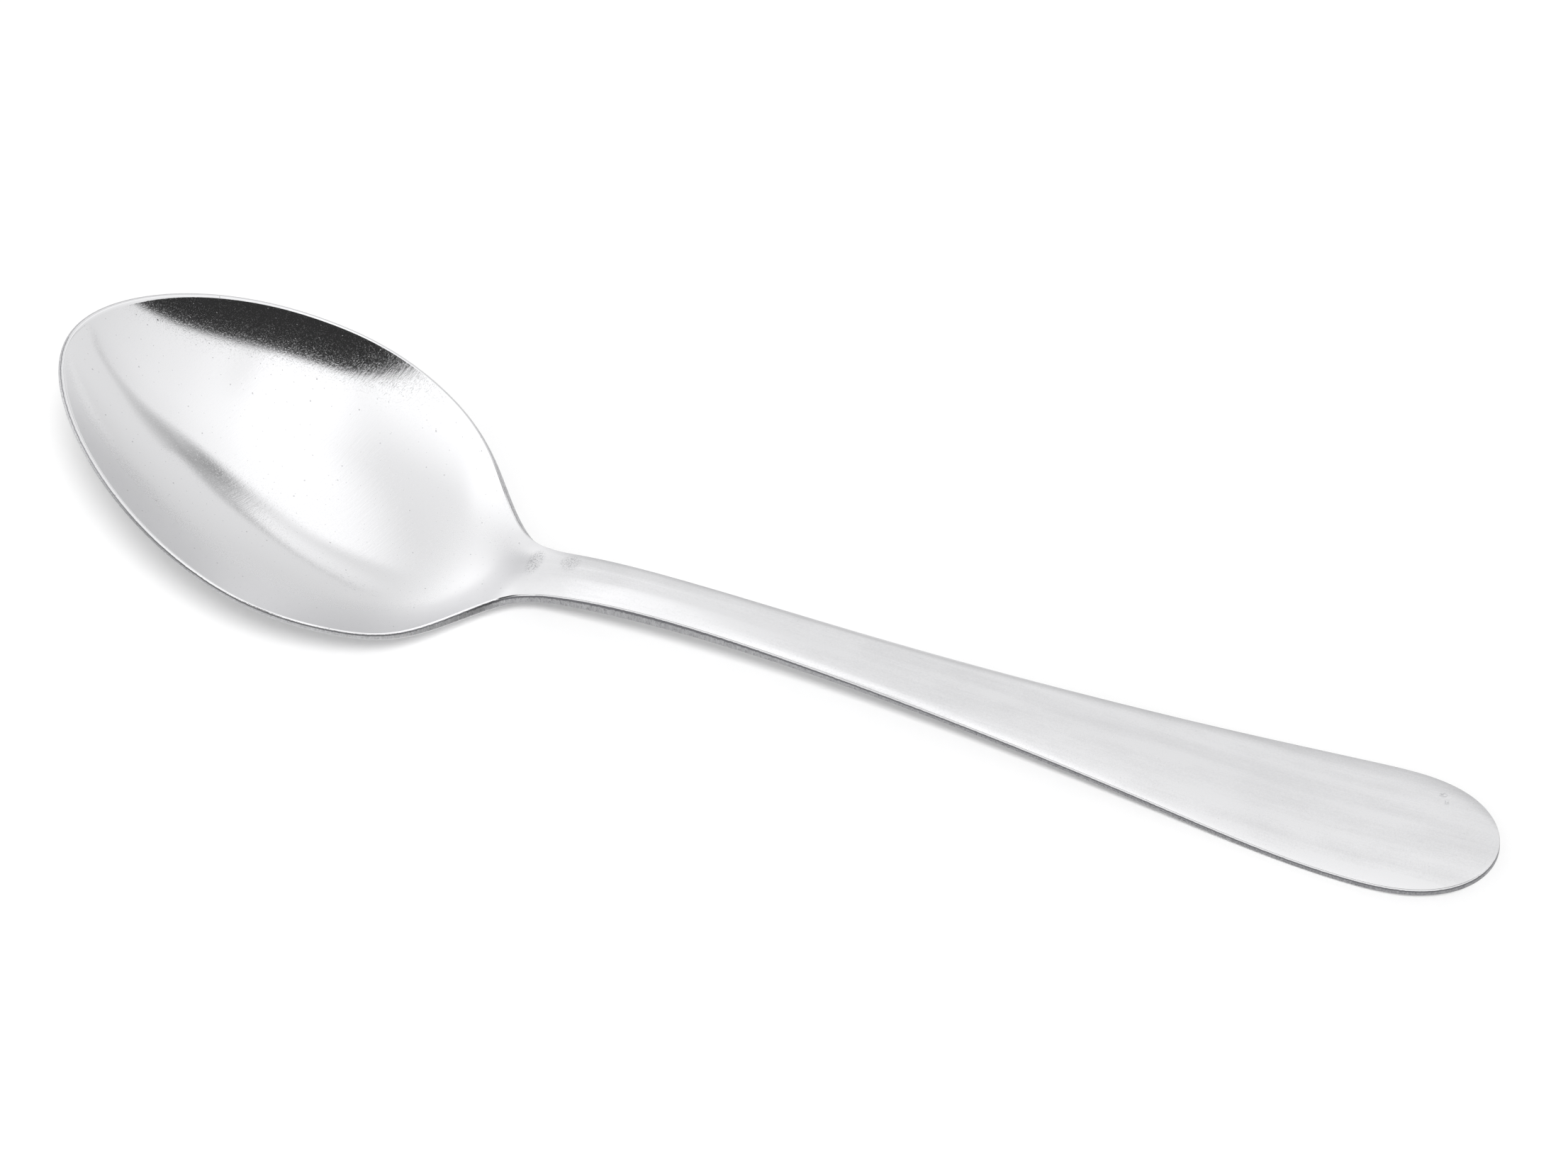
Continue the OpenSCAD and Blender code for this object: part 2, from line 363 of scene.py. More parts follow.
class SpoonSizes(bpy.types.PropertyGroup):
    """Sizes of the spoon: those of the solid it stands for, and the roll of its rim."""

    spoon_length: length("Length", "Tip of the bowl to the end of the handle", 178)
    bowl_length: length("Bowl length", "Tip of the bowl to the root of the neck", 58)
    bowl_width: length("Bowl width", "Width of the bowl at its widest station", 42.2)
    bowl_depth: length("Bowl depth", "Depth of the bowl's underside below its rim", 7.6)
    deepest_at: length("Deepest at", "Distance of the deepest point from the tip", 26)
    dish_reach: length("Dish reach", "Deepest point back to where the dish runs out", 33.5)
    nose_length: length("Nose length", "Length over which the tip is rounded", 23.8)
    tip_height: length("Tip height", "Height of the rim's outer edge at the tip", 25.5)
    heel_height: length("Heel height", "Height of the rim's outer edge at the heel", 3.15)
    rim_sag: length("Rim sag", "Dip of the rim between tip and heel", 0.7)
    neck_width: length("Neck width", "Width of the neck at its narrowest", 6.7)
    neck_reach: length("Neck reach", "Root of the bowl to the narrowest point of the neck", 17)
    root_flare: length("Root flare", "Widening on each side where the neck runs into the bowl", 1.0)
    neck_height: length("Neck height", "Height of the neck's lower edge", 4.95)
    throat_height: length("Throat height", "Height of the lower edge between bowl and neck", 4.05)
    handle_width: length("Handle width", "Width of the handle near its end", 16.9)
    end_round: length("End round", "Length over which the end is rounded", 16)
    end_lift: length("End lift", "Height of the lower edge at the end", 1.6)
    foot_reach: length("Foot reach", "End of the handle to where it touches the table", 18)
    rim_thickness: length("Rim thickness", "Thickness at the bowl's rim", 0.7)
    neck_thickness: length("Neck thickness", "Thickness of the edge at the neck", 1.65)
    shank_thickness: length("Shank thickness", "Thickness of the edge along the handle", 0.85)
    end_thickness: length("End thickness", "Thickness of the edge at the end", 1.05)
    floor_gain: length("Floor gain", "Extra thickness in the floor of the bowl", 0.1)
    face_crown: length("Face crown", "Rise of the handle's upper face from edge to middle", 0.7)
    neck_crown: length("Neck crown", "Rise of the neck's upper face from edge to middle", 1.0)
    back_crown: length("Back crown", "Bulge of the handle's back from edge to middle", 0.2)
    rim_roll: length("Rim roll", "Width over which the bowl's rim rolls outwards", 0.22)
    rim_fall: length("Rim fall", "Fall of the rolled rim", 0.05)
    corner_break: length("Corner break", "Width of the polished upper corner", 0.1)
    corner_drop: length("Corner drop", "Fall of the polished upper corner", 0.2)
    edge_break: length("Edge break", "Radius of the sheared edge's lower corner", 0.08)


class SteelFinish(bpy.types.PropertyGroup):
    """Colours and finishes of the steel."""

    steel: colour("Steel", "Colour of the bare metal", STEEL)
    # Tone of burnished steel and of the painted highlights on the heel's flank and the handle's
    # near half
    highlight_and_burnish: colour("Burnished steel", "Colour of steel rubbed bright in use", (0.88, 0.88, 0.89))
    # Also the tone of the painted shade along the handle's far edge
    shear: colour("Sheared edge", "Colour of the edge where the blank was cut", (0.46, 0.46, 0.47))
    # Also the tone of the painted shade in the dark line along the sheared edge
    soil_and_shade: colour("Soil", "Colour in pits, scratches and rub marks", (0.16, 0.16, 0.17))
    polished: share("Polished roughness", "Roughness in the bowl", 0.08)
    satin: share("Satin roughness", "Roughness along the handle", 0.2)
    dulled: share("Dulled roughness", "Roughness gained on the bowl's near wall and heel", 0.22)
    cut: share("Cut roughness", "Roughness of the sheared edge", 0.36)


class StudioSettings(bpy.types.PropertyGroup):
    """The camera, the lights and the floor."""

    azimuth: angle("Azimuth", "Turn of the camera round the spoon", 18.98)
    elevation: angle("Elevation", "Height of the camera above the horizon", 53.89)
    distance: length("Distance", "Camera to the point it looks at", 517.1)
    target_x: length("Target X", "Place on the floor that the camera looks at", -2.09)
    target_y: length("Target Y", "Place on the floor that the camera looks at", 10.51)
    focal_px: FloatProperty(
        name="Focal length",
        description="In pixels of a picture that is 2212 wide",
        default=6000.0,
        subtype="PIXEL",
    )
    floor: colour("Floor", "Colour of the floor", (0.88, 0.88, 0.88))
    floor_lift: share("Floor lift", "Light that the floor shows of its own", 0.06)
    back_light: share("Back light", "Level of the room low down behind the spoon", 0.88, 2.0)
    top_light: share("Top light", "Level of the room overhead", 1.2, 2.0)
    front_light: share("Front light", "Level over the camera and along the strip", 1.5, 2.0)
    fill_share: share("Fill share", "Share of the room's level that lights the floor", 0.44)
    key_light: share("Key light", "Level that the lamp gives the floor", 0.56)
    key_azimuth: angle("Key azimuth", "Turn of the lamp round the spoon", 34)
    key_lean: angle("Key lean", "Lean of the lamp from straight up", 28)
    key_spread: angle("Key spread", "Angle across the lamp as the spoon sees it", 14)


def natural_curve(stations, values):
    """Natural cubic curve through the points, as a function of position.

    Its second slopes solve the usual three-term equations, with none at either end.
    """
    xs = np.array(stations, float)
    ys = np.array(values, float)
    gaps = np.diff(xs)
    inner = 2 * (gaps[:-1] + gaps[1:])
    matrix = np.diag(inner) + np.diag(gaps[1:-1], 1) + np.diag(gaps[1:-1], -1)
    turns = 6 * np.diff(np.diff(ys) / gaps)
    bends = np.concatenate(([0.0], np.linalg.solve(matrix, turns), [0.0]))

    def at(x):
        i = np.clip(np.searchsorted(xs, x, side="right") - 1, 0, len(xs) - 2)
        b = (x - xs[i]) / gaps[i]
        a = 1 - b
        curl = (a**3 - a) * bends[i] + (b**3 - b) * bends[i + 1]
        return a * ys[i] + b * ys[i + 1] + curl * gaps[i] ** 2 / 6

    return at


def mix(a, b, t):
    """The value a share t of the way from a to b."""
    return a + (b - a) * t


def eased(t):
    """A smooth step from 0 at 0 to 1 at 1."""
    t = np.clip(t, 0, 1)
    return t * t * (3 - 2 * t)


def slope_of(curve, x):
    """Slope of a curve by a central difference."""
    return (curve(x + SLOPE_STEP) - curve(x - SLOPE_STEP)) / (2 * SLOPE_STEP)


class Sheet:
    """The sheet of steel as curves of x, the distance from the tip of the bowl."""

    def __init__(self, sizes):
        self.s = s = sizes
        self.heel = HEEL_SHARE * s.bowl_length
        self.throat = s.bowl_length + THROAT_SHARE * s.neck_reach
        self.neck = s.bowl_length + s.neck_reach
        self.foot = s.spoon_length - s.foot_reach
        self.outline = natural_curve(*zip(*self.outline_points()))
        self.rim = natural_curve(*zip(*self.rim_points()))
        self.gauge = natural_curve(*zip(*self.gauge_points()))

    def outline_points(self):
        """Half widths before the tip and the end are rounded off."""
        s = self.s
        half_neck = s.neck_width / 2
        bowl = [(a * s.bowl_length, b * s.bowl_width / 2) for a, b in BOWL_SHAPE]
        root = [
            (s.bowl_length, half_neck + s.root_flare),
            (self.throat, half_neck + THROAT_FLARE * s.root_flare),
            (self.neck, half_neck),
        ]
        flare = [
            (mix(self.neck, s.spoon_length, a), mix(s.neck_width, s.handle_width, b) / 2)
            for a, b in FLARE_SHAPE
        ]
        return bowl + root + flare

    def rim_points(self):
        """Heights of the lower edge."""
        s = self.s
        bowl = [
            (a * self.heel, mix(s.tip_height, s.heel_height, a) - 4 * s.rim_sag * a * (1 - a))
            for a in RIM_SHAPE
        ]
        neck = [(self.throat, s.throat_height), (self.neck, s.neck_height)]
        fall = [
            (mix(self.neck, self.foot, a), mix(s.back_crown, s.neck_height, b))
            for a, b in FALL_SHAPE
        ]
        return bowl + neck + fall + [(self.foot, s.back_crown), (s.spoon_length, s.end_lift)]

    def gauge_points(self):
        """Thicknesses of the sheared edge."""
        s = self.s
        bowl = [
            (0, s.rim_thickness),
            (THICKENING_SHARE * s.bowl_length, s.rim_thickness),
            (self.heel, mix(s.rim_thickness, s.neck_thickness, HEEL_GAIN)),
            (mix(self.throat, self.neck, THICKEST_SHARE), s.neck_thickness),
        ]
        shank = [
            (mix(self.neck, self.foot, a), mix(s.shank_thickness, s.neck_thickness, b))
            for a, b in THINNING_SHAPE
        ]
        end = [
            (mix(self.neck, self.foot, REGAIN_AT), mix(s.shank_thickness, s.end_thickness, REGAIN)),
            (s.spoon_length, s.end_thickness),
        ]
        return bowl + shank + end

    def nose_cap(self, x):
        """One, less the cube of what is left of the nose: it closes the outline at the tip."""
        return 1 - np.clip(1 - x / self.s.nose_length, 0, 1) ** 3

    def end_cap(self, x):
        """The same at the end of the handle."""
        return 1 - np.clip(1 - (self.s.spoon_length - x) / self.s.end_round, 0, 1) ** 3

    def half_width(self, x):
        """The outline times the square root of both caps."""
        return self.outline(x) * np.sqrt(np.maximum(self.nose_cap(x) * self.end_cap(x), LEAST_CAP))

    def dish(self, x):
        """Depth along the middle as a share: a parabola to the tip, a power of one to the heel.

        Both are pulled towards a fuller floor.
        """
        s = self.s
        ahead = 1 - ((s.deepest_at - x) / s.deepest_at) ** 2
        behind = np.maximum(0, 1 - ((x - s.deepest_at) / s.dish_reach) ** 2) ** DISH_POWER
        run = np.where(x < s.deepest_at, ahead, behind)
        return run * mix(2 - run, 1, PARABOLA_SHARE)

    def grip(self, x):
        """How far a station belongs to the crowned neck and handle, from 0 in the bowl to 1."""
        start = GRIP_START * self.s.bowl_length
        full = mix(self.throat, self.neck, GRIP_FULL)
        return eased((x - start) / (full - start)) * self.end_cap(x)

    def crown(self, x, v):
        """Extra thickness over the edge: a soft roof on the neck, flat-topped on the handle."""
        s = self.s
        blade = eased((x - self.neck) / (BLADE_SHARE * (self.foot - self.neck)))
        g = self.grip(x)
        rise = mix(s.neck_crown, s.face_crown, blade) + s.back_crown
        floor = (1 - g) * self.dish(x) * s.floor_gain * (1 - v * v)
        side = np.clip((np.abs(v) - ROOF_START) / (1 - ROOF_START), 0, None)
        return g * rise * (1 - mix(side**ROOF_POWER, np.abs(v) ** FACE_POWER, blade)) + floor

    def hang(self, x):
        """How far the middle of the underside hangs below its edges."""
        return self.s.bowl_depth * self.dish(x) + self.s.back_crown * self.grip(x)

    def skin(self, x, v):
        """Underside point, upward normal and thickness at station x and share v of the half width.

        The height is that of the edge less the hang times 1 - v squared. The normal comes from
        its slopes.
        """
        inner = 1 - v * v
        w = self.half_width(x)
        narrowing = slope_of(self.half_width, x) / w
        hang = self.hang(x)
        z = self.rim(x) - hang * inner
        z_x = slope_of(self.rim, x) - slope_of(self.hang, x) * inner - 2 * hang * v * v * narrowing
        z_y = 2 * hang * v / w
        normal = np.stack([-z_x, -z_y, np.ones_like(z)], -1)
        normal /= np.linalg.norm(normal, axis=-1, keepdims=True)
        return np.stack([x, v * w, z], -1), normal, self.gauge(x) + self.crown(x, v)

    def stations(self):
        """Stations along the spoon, even along the outline where the tip and the end turn."""
        s = self.s
        quarter = np.linspace(0, np.pi / 2, NOSE_STEPS, endpoint=False)
        nose = s.nose_length * (1 - np.cos(quarter))
        body = np.linspace(s.nose_length, s.spoon_length - s.end_round, BODY_STEPS, endpoint=False)
        turn = np.linspace(0, np.pi / 2, END_STEPS)
        end = s.spoon_length - s.end_round * (1 - np.sin(turn))
        return np.clip(np.concatenate([nose, body, end]), END_INSET, s.spoon_length - END_INSET)

    def section(self):
        """Columns round one section: share across, share of the thickness, drop, insets and lifts.

        Insets from the edge and lifts say how far lower break, upper corner and roll move a column.
        Columns go along the underside from right to left, up the left edge, back over the upper
        face and down the right edge. The lower corner is a quarter circle, the upper one a flat
        bevel that the rolled rim leads up to. The drop counts 0 to 1 round the upper corner, 1 to 2
        down the sheared band and 2 to 3 round the lower corner.
        """
        across = np.sin(np.linspace(-np.pi / 2, np.pi / 2, FACE_COLUMNS))
        low = np.linspace(0, 1, BURR_STEPS + 2)[1:-1]
        band = np.linspace(0, 1, BAND_STEPS)
        bevel = np.linspace(0, 1, CORNER_STEPS + 1)[1:]
        roll = np.linspace(0, 1, ROLL_STEPS + 1)[1:-1]
        none = np.zeros
        part = np.concatenate([none(BURR_STEPS), band, np.ones(CORNER_STEPS + ROLL_STEPS - 1)])
        rolling = (1 - roll) * (1 - BEVEL_DROP)
        drop = np.concatenate([3 - low, 2 - band, 1 - bevel * BEVEL_DROP, rolling])
        edge_inset = np.stack([
            np.concatenate([1 - np.sin(low * np.pi / 2), none(len(part) - BURR_STEPS)]),
            np.concatenate([none(BURR_STEPS + BAND_STEPS), bevel, np.ones(ROLL_STEPS - 1)]),
            np.concatenate([none(BURR_STEPS + BAND_STEPS + CORNER_STEPS), roll]),
        ])
        edge_lift = np.stack([
            np.concatenate([
                1 - np.cos(low * np.pi / 2), 1 - band, none(CORNER_STEPS + ROLL_STEPS - 1)
            ]),
            np.concatenate([none(BURR_STEPS), -band, bevel - 1, none(ROLL_STEPS - 1)]),
            np.concatenate([none(BURR_STEPS), -band, -np.ones(CORNER_STEPS), -((1 - roll) ** 2)]),
        ])
        face = np.ones(FACE_COLUMNS)
        edge = np.ones(len(part))
        under = np.outer((1, 0, 0), face)
        upper = np.outer((0, 1, 1), face)
        return (
            np.concatenate([across, edge, -across, -edge]),
            np.concatenate([face * 0, part, face, part[::-1]]),
            np.concatenate([face * 3, drop, face * 0, drop[::-1]]),
            np.concatenate([under, edge_inset, upper, edge_inset[:, ::-1]], axis=1),
            np.concatenate([under * 0, edge_lift, upper * 0, edge_lift[:, ::-1]], axis=1),
        )

    def grid(self):
        """Points of the whole skin, one row to a station, with the box's middle over the origin.

        With each point go its drop down the edge, its run in millimetres round the outline and its
        share of the half width.
        """
        s = self.s
        x = self.stations()[:, None]
        across, part, drop, insets, lifts = self.section()
        low, high = ROLL_SPAN
        rolled = 1 - eased((x / s.bowl_length - low) / (high - low))
        inset = insets[0] * s.edge_break + insets[1] * s.corner_break
        inset = inset + insets[2] * s.rim_roll * rolled
        lift = lifts[0] * s.edge_break + lifts[1] * s.corner_drop
        lift = lift + lifts[2] * s.rim_fall * rolled
        steer = slope_of(self.half_width, x)
        tilt = np.sqrt(1 + steer**2)
        inner_x = np.clip(x + inset * steer / tilt, END_INSET, s.spoon_length - END_INSET)
        inner_w = np.maximum(self.half_width(x) - inset / tilt, 0)
        v = across * np.minimum(inner_w / self.half_width(inner_x), 1)
        point, normal, thickness = self.skin(inner_x, v)
        point = point + normal * (part * thickness + lift)[..., None]
        point[..., 0] -= s.spoon_length / 2
        point[..., 2] -= point[..., 2].min()
        stride = np.hypot(np.diff(x[:, 0]), np.diff(self.half_width(x[:, 0])))
        run = np.concatenate([[0.0], np.cumsum(stride)]) / MM
        return point, np.broadcast_to(drop, v.shape), run[:, None] * np.sign(across), v


def ring_faces(rows, columns):
    """Quads between neighbouring rows, each row being a closed ring."""
    row = np.arange(rows - 1)[:, None] * columns
    here = np.arange(columns)[None, :]
    ahead = (here + 1) % columns
    after = row + columns
    quads = np.stack([row + here, row + ahead, after + ahead, after + here], -1)
    return quads.reshape(-1, 4)


def grid_faces(rows, columns):
    """Quads of an open grid."""
    corner = np.arange(rows - 1)[:, None] * columns + np.arange(columns - 1)[None, :]
    quads = np.stack([corner, corner + 1, corner + columns + 1, corner + columns], -1)
    return quads.reshape(-1, 4)


def lid_faces(columns, first, turned):
    """Quads that zip the left half of a flattened ring to its mirrored right half."""
    half = columns // 2
    start = FACE_COLUMNS // 2
    left = first + (start + np.arange(half)) % columns
    right = first + (start - 1 - np.arange(half)) % columns
    quads = np.stack([left[:-1], left[1:], right[1:], right[:-1]], -1)
    return quads[:, ::-1] if turned else quads


def mesh_object(name, points, faces, smooth=True):
    """A mesh object at the origin from arrays of points and quads."""
    mesh = bpy.data.meshes.new(name)
    mesh.vertices.add(len(points))
    mesh.vertices.foreach_set("co", points.astype(np.float32).ravel())
    mesh.loops.add(faces.size)
    mesh.polygons.add(len(faces))
    starts = np.arange(0, faces.size, faces.shape[1], dtype=np.int32)
    mesh.polygons.foreach_set("loop_start", starts)
    mesh.polygons.foreach_set("vertices", faces.astype(np.int32).ravel())
    mesh.polygons.foreach_set("use_smooth", np.full(len(faces), smooth))
    mesh.update(calc_edges=True)
    if mesh.validate():
        raise RuntimeError(f"{name} has faulty faces")
    made = bpy.data.objects.new(name, mesh)
    bpy.context.scene.collection.objects.link(made)
    return made


def add_attribute(made, name, values):
    """One number to each point of a mesh, for its material to read."""
    layer = made.data.attributes.new(name, "FLOAT", "POINT")
    layer.data.foreach_set("value", np.ascontiguousarray(values, np.float32).ravel())


class Wire:
    """An output socket. Arithmetic on it adds Math nodes, and any other node comes from add."""

    def __init__(self, tree, socket=None):
        self.tree = tree
        self.socket = socket

    def add(self, kind, settings=None, inputs=None, output=0):
        """Adds a node: its settings, then the values or links of its sockets by name or number."""
        node = self.tree.nodes.new(kind)
        for key, value in (settings or {}).items():
            setattr(node, key, value)
        for key, value in (inputs or {}).items():
            if isinstance(value, Wire):
                self.tree.links.new(value.socket, node.inputs[key])
            else:
                node.inputs[key].default_value = value
        return Wire(self.tree, node.outputs[output] if node.outputs else None)

    def math(self, operation, *values):
        """One Math node."""
        return self.add("ShaderNodeMath", {"operation": operation}, dict(enumerate(values)))

    def step(self, low, high):
        """A smooth step from 0 at low to 1 at high."""
        return self.add(
            "ShaderNodeMapRange",
            {"interpolation_type": "SMOOTHSTEP"},
            {"Value": self, "From Min": low, "From Max": high},
        )

    def __add__(self, other):
        return self.math("ADD", self, other)

    def __sub__(self, other):
        return self.math("SUBTRACT", self, other)

    def __mul__(self, other):
        return self.math("MULTIPLY", self, other)

    def __rsub__(self, other):
        return self.math("SUBTRACT", other, self)

    def __truediv__(self, other):
        return self.math("DIVIDE", self, other)

    def __neg__(self):
        return self.math("MULTIPLY", self, -1.0)

    def __abs__(self):
        return self.math("ABSOLUTE", self)

    __radd__ = __add__
    __rmul__ = __mul__

    def xyz(self):
        """The three parts of a vector."""
        return [self.add("ShaderNodeSeparateXYZ", None, {"Vector": self}, i) for i in range(3)]

    def stretched(self, x, y, z):
        """A vector times three numbers."""
        return self.add(
            "ShaderNodeVectorMath", {"operation": "MULTIPLY"}, {0: self, 1: (x, y, z)}
        )

    def noise(self, waves, detail, roughness):
        """Noise from 0 to 1 at this vector, with so many waves to a unit in each direction."""
        return self.add(
            "ShaderNodeTexNoise",
            {"noise_dimensions": "3D"},
            {
                "Vector": self.stretched(*waves),
                "Scale": 1.0,
                "Detail": detail,
                "Roughness": roughness,
            },
        )

    def dots(self, scale, radius, rarity):
        """Round dots on the plane of this vector: one to a cell, most of them left out."""
        cell = {"voronoi_dimensions": "2D"}
        values = {"Vector": self, "Scale": scale}
        away = self.add("ShaderNodeTexVoronoi", cell, values, "Distance") / scale
        pick = self.add("ShaderNodeTexVoronoi", cell, values, "Color").xyz()[0]
        return (1 - away.step(DOT_CORE * radius, radius)) * pick.step(rarity, rarity + PICK_BLUR)

    def capped(self):
        """This value, or 1 where it is more."""
        return self.math("MINIMUM", self, 1.0)

    def root(self):
        """The square root."""
        return self.math("SQRT", self)

    def tint(self, start, end):
        """A colour from start to end by this share."""
        return self.add(
            "ShaderNodeMix", {"data_type": "RGBA"}, {"Factor": self, 6: start, 7: end}, 2
        )

    def attribute(self, name):
        """A number that each point of the mesh carries."""
        return self.add("ShaderNodeAttribute", {"attribute_name": name}, output=2)

    def seen(self):
        """1 for what the camera sees, itself or by way of metal or glass, and 0 for other light."""
        names = ("Is Camera Ray", "Is Glossy Ray", "Is Transmission Ray")
        return sum(self.add("ShaderNodeLightPath", output=name) for name in names)


def empty_tree(owner):
    """Clears the nodes of a material or a world and gives a wire to start from."""
    owner.use_nodes = True
    owner.node_tree.nodes.clear()
    return Wire(owner.node_tree)


def rgba(tone):
    """A colour with full cover."""
    return (*tone, 1.0)


def joined(x, y, z):
    """A vector from three wires or numbers, of which the first is a wire."""
    return x.add("ShaderNodeCombineXYZ", None, {0: x, 1: y, 2: z})


def spots(along, across, marks):
    """Marks on the upper face, each strongest at its middle and fading to 0 at its reach."""
    total = 0.0
    for (middle_x, middle_y), (reach_x, reach_y), strength in marks:
        x, y = (along - middle_x) / reach_x, (across - middle_y) / reach_y
        total = total + (1 - (x * x + y * y).step(0.0, 1.0)) * strength
    return total


def steel_material(finish):
    """Stainless steel: bright bowl, satin handle, cut edge, pits, rub marks, fine lines, painted
    highlights and painted shade.
    """
    material = bpy.data.materials.new("stainless_steel")
    start = empty_tree(material)
    place = start.add("ShaderNodeTexCoord", output=3).stretched(1 / MM, 1 / MM, 1 / MM)
    along, across, height = place.xyz()
    drop, run, side = (start.attribute(name) for name in ("drop", "run", "side"))
    near = -side

    # Where each finish lies
    polish = 1 - along.step(*POLISH_END)
    satin_part = 1 - polish
    heel = along.step(*HEEL_START) * (1 - along.step(*HEEL_END)) * near.step(*HEEL_NEAR)
    dull = (near.step(*WALL_NEAR) * polish + heel).capped()
    corner = drop.step(*CORNER_START) * (1 - drop.step(*CORNER_END))
    cut = drop.step(*CUT_START) * (1 - drop.step(*CUT_END))
    jagged = joined(run, 0.0, 0.0).noise(*JAGGED) - NOISE_MEAN
    # Burr line under the polished corner: real relief, and painted shade in its colour
    burr_and_shade_line = (BURR_WIDTH - abs(drop - BURR_AT - jagged * BURR_JAG)).step(*BURR_BLUR)
    # Painted highlight: brightens the heel's near flank, which mirrors shade from the bowl
    flank_highlight = along.step(*FLANK_HIGHLIGHT_START) * (1 - along.step(*FLANK_HIGHLIGHT_END)) * near.step(*FLANK_HIGHLIGHT_NEAR)
    # Painted highlight: the handle's near half made lighter
    near_highlight = satin_part * near.step(*NEAR_HIGHLIGHT_SIDE) * along.step(*NEAR_HIGHLIGHT_START)

    # Fine structure of each finish
    slanted = joined(along - across * SLANT, across, height)
    strokes = slanted.noise(*STROKES)
    grain = slanted.noise(*GRAIN).step(*GRAIN_SPAN)
    grit = place.noise(*GRIT).step(*GRIT_SPAN)
    lines = place.noise(*LINES)
    ripple = place.noise(*RIPPLE)
    marks = joined(run, drop, 0.0).noise(*MARKS)
    chips = cut * joined(run, drop, CHIP_LAYER).noise(*CHIPS).step(*CHIP_SPAN)
    bands = place.noise(*BANDS)
    mottle = place.noise(*MOTTLE)
    fleck = place.noise(*FLECK)

    # Single marks
    cells = joined(along, across, 0.0)
    pits = sum(cells.dots(*cell) * strength for *cell, strength in PITS)
    rubs = spots(along, across, RUB_MARKS) * place.noise(*SPECK).step(*SPECK_SPAN)
    nicks = spots(along, across, NICK_MARKS) * fleck.step(*NICK_SPAN)
    hairs = spots(along, across, HAIR_MARKS) * slanted.noise(*HAIRS).step(*HAIR_SPAN)
    smear = spots(along, across, SMEAR_MARKS)
    bow = (along - TRAIL_MIDDLE) * (along - TRAIL_MIDDLE) * TRAIL_BEND
    trail = (
        (1 - abs(across - TRAIL_ACROSS + bow).step(*TRAIL_WIDTH))
        * along.step(*TRAIL_START)
        * (1 - along.step(*TRAIL_END))
    )

    # Relief
    bowl_relief = strokes * STROKE_RELIEF + grain * GRAIN_RELIEF + ripple * RIPPLE_RELIEF
    face_relief = (
        polish * bowl_relief
        + satin_part * lines * LINE_RELIEF
        - pits * PIT_RELIEF
        - hairs * HAIR_RELIEF
    )
    relief = (1 - cut) * face_relief + cut * marks * MARK_RELIEF - burr_and_shade_line * BURR_RELIEF
    bump = start.add("ShaderNodeBump", None, {"Strength": 1.0, "Distance": MM, "Height": relief})

    # Roughness
    satin = (
        finish.satin
        + (fleck - NOISE_MEAN) * FLECK_ROUGHNESS
        + (lines - NOISE_MEAN) * LINE_ROUGHNESS
        + (bands - NOISE_MEAN) * BAND_ROUGHNESS
    )
    bright = finish.polished + (strokes - NOISE_MEAN) * STROKE_ROUGHNESS + grit * GRIT_ROUGHNESS
    face_rough = polish * bright + satin_part * satin + dull * finish.dulled
    rough = (1 - corner) * ((1 - cut) * face_rough + cut * finish.cut) + corner * finish.polished

    # Colour
    # Random wear, and painted shade along the handle's far edge
    wear_and_far_shade = smear + satin_part * (
        (bands - BAND_MIDDLE) * BAND_WEAR
        + (mottle - NOISE_MEAN) * MOTTLE_WEAR
        + (lines - NOISE_MEAN) * LINE_WEAR
        + (fleck - NOISE_MEAN) * FLECK_WEAR
        # Painted shade: darkens the handle's far edge, where the steel mirrors a dimmer part of the
        # room
        + side.step(*FAR_SHADE_SIDE) * FAR_SHADE
        + trail * TRAIL_DARKENING
    )
    # Share of burnish on the handle and of painted highlight on the heel's flank and the handle's
    # near half
    burnish_and_highlight = flank_highlight * FLANK_HIGHLIGHT + near_highlight * NEAR_HIGHLIGHT + satin_part * HANDLE_BURNISH
    base = burnish_and_highlight.tint(rgba(finish.steel), rgba(finish.highlight_and_burnish))
    face = wear_and_far_shade.tint(base, rgba(finish.shear))
    edge_share = cut * (EDGE_SHEAR + (marks - NOISE_MEAN) * MARK_SHEAR)
    edge = edge_share.tint(face, rgba(finish.shear))
    deep = (
        cut
        * (DEEP_NECK * along.step(*DEEP_NECK_START) + DEEP_GRIP * along.step(*DEEP_GRIP_START))
        * (DEEP_EVEN + DEEP_MARKS * marks)
    )
    grime_and_shade = (
        rubs * RUB_GRIME
        + nicks * NICK_GRIME
        + hairs * HAIR_GRIME
        + pits * (PIT_GRIME + PIT_GRIME_BOWL * polish)
        + chips * CHIP_GRIME
        # Painted shade: the dark line along the top of the sheared edge
        + burr_and_shade_line * (BURR_SHADE - BURR_SHADE_FAR * side.step(*BURR_SHADE_FAR_SIDE))
        + deep
    ).capped()
    tone = grime_and_shade.tint(edge, rgba(finish.soil_and_shade))
    surface = start.add(
        "ShaderNodeBsdfPrincipled",
        None,
        {"Base Color": tone, "Metallic": 1.0, "Roughness": rough, "Normal": bump},
    )
    start.add("ShaderNodeOutputMaterial", None, {"Surface": surface})
    return material


def card_material():
    """Dark cloth that thins out where its cover is less than 1."""
    material = bpy.data.materials.new("card_cloth")
    start = empty_tree(material)
    cover = start.attribute("cover")
    cloth = start.add(
        "ShaderNodeEmission", None, {"Color": rgba((CARD_TONE,) * 3), "Strength": 1.0}
    )
    gap = start.add("ShaderNodeBsdfTransparent")
    both = start.add("ShaderNodeMixShader", None, {0: cover, 1: gap, 2: cloth})
    start.add("ShaderNodeOutputMaterial", None, {"Surface": both})
    return material


